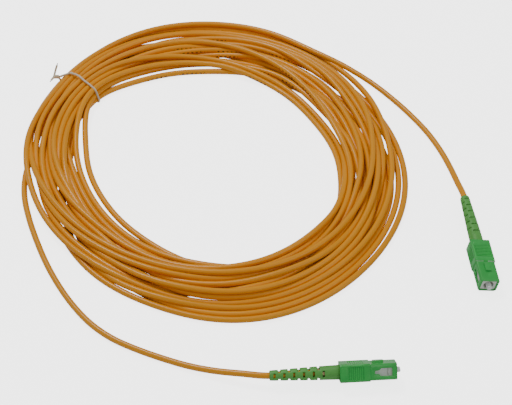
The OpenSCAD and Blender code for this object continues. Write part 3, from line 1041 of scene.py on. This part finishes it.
def boot_mesh(slot):
    """A tapered sleeve with slots across its top and bottom, and a short one in each side of a segment."""
    notches = [BOOT_TIP_X + SLOT_PITCH * (i + 1) for i in range(5)]
    windows = [BOOT_TIP_X + SLOT_PITCH * (i + 0.5) for i in range(6)]
    stations = {BOOT_TIP_X, BOOT_TIP_X + 0.5, BORE_STEP_X - 0.05, BORE_STEP_X + 0.05, BOOT_COLLAR_X}
    stations |= {BOOT_COLLAR_X + 0.3, -4.0, -1.0, BOOT_STEP_X, BOOT_STEP_X + 0.05, BOOT_FRONT_X}
    for middle in notches + windows:
        stations |= {round(middle - slot / 2, 3), round(middle + slot / 2, 3)}
    xs = sorted(stations)

    def outer(x):
        if x > BOOT_STEP_X:
            return NECK_R
        if x > BOOT_COLLAR_X:
            return COLLAR_R + FLARE * (x - BOOT_COLLAR_X) / (BOOT_STEP_X - BOOT_COLLAR_X)
        taper = TIP_R + TAPER * (x - BOOT_TIP_X) / (BOOT_COLLAR_X - BOOT_TIP_X)
        inside = (x - BOOT_TIP_X) % SLOT_PITCH / SLOT_PITCH
        return taper + 0.1 * math.sin(math.pi * inside) ** 0.5

    def inner(x):
        return CORD_BORE_R if x < BORE_STEP_X else CRIMP_BORE_R

    angles = []
    for side in (0, 180):
        web_end = side + WEB_ANGLE
        angles += [*np.linspace(side - WEB_ANGLE, web_end, WEB_CELLS, endpoint=False)]
        angles += [*np.linspace(web_end, side + 180 - WEB_ANGLE, SLOT_CELLS, endpoint=False)]
    columns, rows = len(angles), len(xs)

    def cut(row, column):
        """Whether a cell of the sleeve is cut away or lies past its ends."""
        if not 0 <= row < rows - 1:
            return True
        x = (xs[row] + xs[row + 1]) / 2
        cell = column % (WEB_CELLS + SLOT_CELLS)
        on_web = windows if 1 <= cell < WEB_CELLS - 1 else ()
        holes = on_web if cell < WEB_CELLS else notches
        return any(abs(x - middle) < slot / 2 for middle in holes)

    points = []
    for radius in (outer, inner):
        for x in xs:
            for a in map(math.radians, angles):
                points.append((x, radius(x) * math.cos(a), radius(x) * math.sin(a)))

    def at(layer, row, column):
        return layer * rows * columns + row * columns + column % columns

    faces = []
    for i in range(rows - 1):
        for k in range(columns):
            if cut(i, k):
                continue
            faces.append((at(0, i, k), at(0, i, k + 1), at(0, i + 1, k + 1), at(0, i + 1, k)))
            faces.append((at(1, i, k), at(1, i + 1, k), at(1, i + 1, k + 1), at(1, i, k + 1)))
            for gone, p, q in (
                (cut(i - 1, k), (i, k), (i, k + 1)),
                (cut(i + 1, k), (i + 1, k), (i + 1, k + 1)),
                (cut(i, k - 1), (i, k), (i + 1, k)),
                (cut(i, k + 1), (i, k + 1), (i + 1, k + 1)),
            ):
                if gone:
                    faces.append((at(0, *p), at(0, *q), at(1, *q), at(1, *p)))

    def drop_loose(shape):
        loose = [v for v in shape.verts if not v.link_faces]
        bmesh.ops.delete(shape, geom=loose, context="VERTS")

    return reworked(solid(points, faces), drop_loose)


class PATCHCORD_OT_boots(bpy.types.Operator):
    """Makes the two slotted bend-relief boots"""

    bl_idname = "patchcord.boots"
    bl_label = "Boots"

    def execute(self, context):
        plug = context.scene.patch_plug
        rubber = moulded_finish("green_boot", plug.boot_colour, 0.48, grain=2600.0, edge_tone=1.15)
        for end in ENDS:
            mesh = boot_mesh(PLUGS[end]["slot"])
            obj = new_object(f"boot_{end}_relief", mesh, plug_matrix(end, PLUGS[end]["boot_turn"]))
            soften(obj, 0.00014, angle=50)
            paint(obj, rubber)
            finish_piece(obj, "cord", "green_boot", f"boot_{end}")
        return {"FINISHED"}


# Along the grip in millimetres: the raised panel, the sunk field with the ribs, the window and the key
PANEL_X, PANEL_RISE = (0.7, 3.1), 0.12
FIELD_X, FIELD_DEPTH = (3.7, 10.4), 0.25
WINDOW = [(15.2, 0.5), (15.5, 0.85), (17.1, 0.9), (18.0, 1.87), (22.9, 1.87)]
KEY_X, KEY_WIDTH, KEY_HEIGHT = (14.6, 19.4), 2.6, 0.9
# Half the width and height of the hole that the plug frame runs in
TUNNEL = (3.65, 2.95)
# Depth and radius of the round mouth that the boot stands in
MOUTH_X, MOUTH_R = 2.6, 3.45
# How many ribs stand on each face, how far apart, how thick, and how far they stay off the field's sides
RIBS, RIB_PITCH, RIB_R, RIB_GAP = 7, 0.91, 0.26, 1.3


def grip_section(x, half_width, half_height, sink):
    """One ring of the grip's outside. sink is how far the middle of each face lies under its edges."""
    w, h, top, low = half_width, half_height, 0.45, 0.85
    y, z = w - 1.15, h - 1.15
    face = 0.12
    corners = [
        (w - top, h), (y, h), (y - face, h - sink), (face - y, h - sink), (-y, h), (top - w, h),
        (-w, h - top), (-w, z), (sink - w, z - face), (sink - w, face - z), (-w, -z), (-w, low - h),
        (low - w, -h), (-y, -h), (face - y, sink - h), (y - face, sink - h), (y, -h), (w - low, -h),
        (w, low - h), (w, -z), (w - sink, face - z), (w - sink, z - face), (w, z), (w, h - top),
    ]
    return [(x, a, b) for a, b in corners]


class PATCHCORD_OT_grips(bpy.types.Operator):
    """Makes the two grips with their keys, windows, panels and ribs"""

    bl_idname = "patchcord.grips"
    bl_label = "Grips"

    def execute(self, context):
        plug = context.scene.patch_plug
        plastic = grip_finish(plug)
        w, h = plug.grip_width / MM / 2, plug.grip_height / MM / 2
        rear, step, front = plug.rear_length / MM, plug.rear_step / MM, plug.grip_length / MM
        rings = [(0.0, step, 0.0)]
        for (start, stop), ramp, sink in ((PANEL_X, 0.1, -PANEL_RISE), (FIELD_X, 0.12, FIELD_DEPTH)):
            rings += [(start, step, 0.0), (start + ramp, step, sink)]
            rings += [(stop - ramp, step, sink), (stop, step, 0.0)]
        rings += [(rear, step, 0.0), (rear + 0.2, 0.0, 0.0), (front, 0.0, 0.0)]
        body = loft([grip_section(x, w + out, h + out, sink) for x, out, sink in rings])

        window = rounded(WINDOW + [(x, -z) for x, z in reversed(WINDOW)], 0.2)
        tunnel = rounded(rectangle((-TUNNEL[0], -TUNNEL[1]), TUNNEL), 0.25)
        key = rounded(rectangle((KEY_X[0], -KEY_WIDTH / 2), (KEY_X[1], KEY_WIDTH / 2)), 0.3)
        key = loft([[(x, y, z) for x, y in key] for z in (h - 0.4, h + KEY_HEIGHT)])
        for end in ENDS:
            obj = new_object(f"grip_{end}_shell", body.copy())
            carve(obj, [key.copy()], "UNION")
            mouth = lathe([(-1.0, MOUTH_R), (MOUTH_X, MOUTH_R)])
            hole = prism(tunnel, -1.0, front + 1.0, False)
            carve(obj, [hole, prism(window, -w - 1.0, w + 1.0, True), mouth])
            soften(obj, 0.13)
            shell = new_object(f"grip_{end}_body", obj.data, plug_matrix(end))
            drop(obj)
            paint(shell, plastic)
            finish_piece(shell, f"grip_{end}", "green_grip", f"grip_{end}")

            rows = []
            for turn, reach, wide in ((0, h, w), (90, w, h), (180, h, w), (270, w, h)):
                start = new_object("ribs", bpy.data.meshes.new("ribs"))
                tree = bpy.data.node_groups.get("Row of ribs") or rib_tree()
                values = {
                    "Count": RIBS,
                    "Pitch": RIB_PITCH,
                    "Rib length": 2 * (wide + step - RIB_GAP),
                    "Rib radius": RIB_R,
                    "Material": plastic,
                }
                row = with_nodes(start, tree, values)
                lift = Matrix.Translation((FIELD_X[0] + 0.6, 0, reach + step - 0.22))
                row.transform(Matrix.Rotation(math.radians(turn), 4, "X") @ lift)
                rows.append(row)
            ribs = new_object(f"grip_{end}_ribs", join_meshes(rows, "ribs"), plug_matrix(end))
            paint(ribs, plastic)
            finish_piece(ribs, f"grip_{end}", "green_grip")
        return {"FINISHED"}


# The ferrule's thinner rear part, which is pressed into its holder, as stations and radii
FERRULE_REAR = [(16.4, 1.05), (19.5, 1.05)]
# Degrees by which the polished end face leans
END_FACE_ANGLE = 8


class PATCHCORD_OT_ferrules(bpy.types.Operator):
    """Makes the two ceramic ferrules with their angled end faces"""

    bl_idname = "patchcord.ferrules"
    bl_label = "Ferrules"

    def execute(self, context):
        plug = context.scene.patch_plug
        ceramic = ceramic_finish()
        r, tip = plug.ferrule_diameter / MM / 2, plug.grip_length / MM + 2.0
        profile = [*FERRULE_REAR, (19.5, r), (tip - 0.62, r), (tip - 0.45, r - 0.06)]
        profile += [(tip - 0.3, r - 0.17), (tip - 0.14, r - 0.36), (tip - 0.09, r - 0.62), (tip - 0.07, 0.1)]
        for end in ENDS:
            mesh = lathe(profile)
            for v in mesh.vertices:
                if v.co.x > tip - 0.2:
                    v.co.x -= math.tan(math.radians(END_FACE_ANGLE)) * v.co.z
            obj = new_object(f"ferrule_{end}_ceramic", mesh, plug_matrix(end))
            soften(obj, 0.00005, angle=60)
            paint(obj, ceramic)
            finish_piece(obj, f"ferrule_{end}", "zirconia", f"ferrule_{end}")
        return {"FINISHED"}


class PATCHCORD_OT_inner_pieces(bpy.types.Operator):
    """Gives the plug frames and the pieces inside the plugs their finishes"""

    bl_idname = "patchcord.inner_pieces"
    bl_label = "Inner pieces"

    def execute(self, context):
        tone = context.scene.patch_plug.frame_colour
        nickel = metal_finish("nickel_plate", (0.66, 0.64, 0.6), 0.28, (400.0, 3000.0, 3000.0))
        finishes = {
            "plug_frame": moulded_finish("ivory_frame", tone, 0.38, edge_tone=1.12, Subsurface_Weight=0.1),
            "fibre": glass_finish(),
            "ferrule_holder": nickel,
            "stop_body": nickel,
            "spring": metal_finish("spring_steel", (0.5, 0.5, 0.52), 0.3, (2500.0, 2500.0, 2500.0)),
            "crimp_sleeve": metal_finish("crimp_metal", (0.72, 0.55, 0.28), 0.35, (500.0, 2500.0, 2500.0)),
            "yarn": yarn_finish(),
            "buffered_fibre": moulded_finish(
                "white_buffer", (0.82, 0.82, 0.8), 0.35, grain=5000.0, edge_tone=1.05
            ),
        }
        for kind, material in finishes.items():
            for end in ENDS:
                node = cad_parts[f"{kind}_{end}"]
                for slot in node.material_slots:
                    slot.material = material
        return {"FINISHED"}


class PATCHCORD_PT_panel(bpy.types.Panel):
    """Lists the sizes, the colours and the steps"""

    bl_idname = "PATCHCORD_PT_panel"
    bl_label = "Patch cord"
    bl_space_type = "VIEW_3D"
    bl_region_type = "UI"
    bl_category = "Patch cord"

    def draw(self, context):
        for group in GROUPS:
            box = self.layout.box()
            for name in GROUPS[group].__annotations__:
                box.prop(getattr(context.scene, group), name)
        for operator in OPERATORS:
            self.layout.operator(operator.bl_idname)


GROUPS = {
    "patch_stage": StageSettings,
    "patch_cord": CordSettings,
    "patch_tie": TieSettings,
    "patch_plug": PlugSettings,
}
OPERATORS = (
    PATCHCORD_OT_stage,
    PATCHCORD_OT_boots,
    PATCHCORD_OT_grips,
    PATCHCORD_OT_ferrules,
    PATCHCORD_OT_inner_pieces,
    PATCHCORD_OT_cord,
    PATCHCORD_OT_tie,
)


def register():
    for made in (*GROUPS.values(), *OPERATORS, PATCHCORD_PT_panel):
        bpy.utils.register_class(made)
    for name, group in GROUPS.items():
        setattr(bpy.types.Scene, name, PointerProperty(type=group))


def unregister():
    for name in GROUPS:
        delattr(bpy.types.Scene, name)
    for made in (PATCHCORD_PT_panel, *reversed(OPERATORS), *GROUPS.values()):
        bpy.utils.unregister_class(made)


def main():
    register()
    for operator in OPERATORS:
        group, name = operator.bl_idname.split(".")
        getattr(getattr(bpy.ops, group), name)()
    boxes = {"cad": cad_box, "visual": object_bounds()}
    {key: [list(corner) for corner in box] for key, box in boxes.items()}


if __name__ == "__main__":
    main()
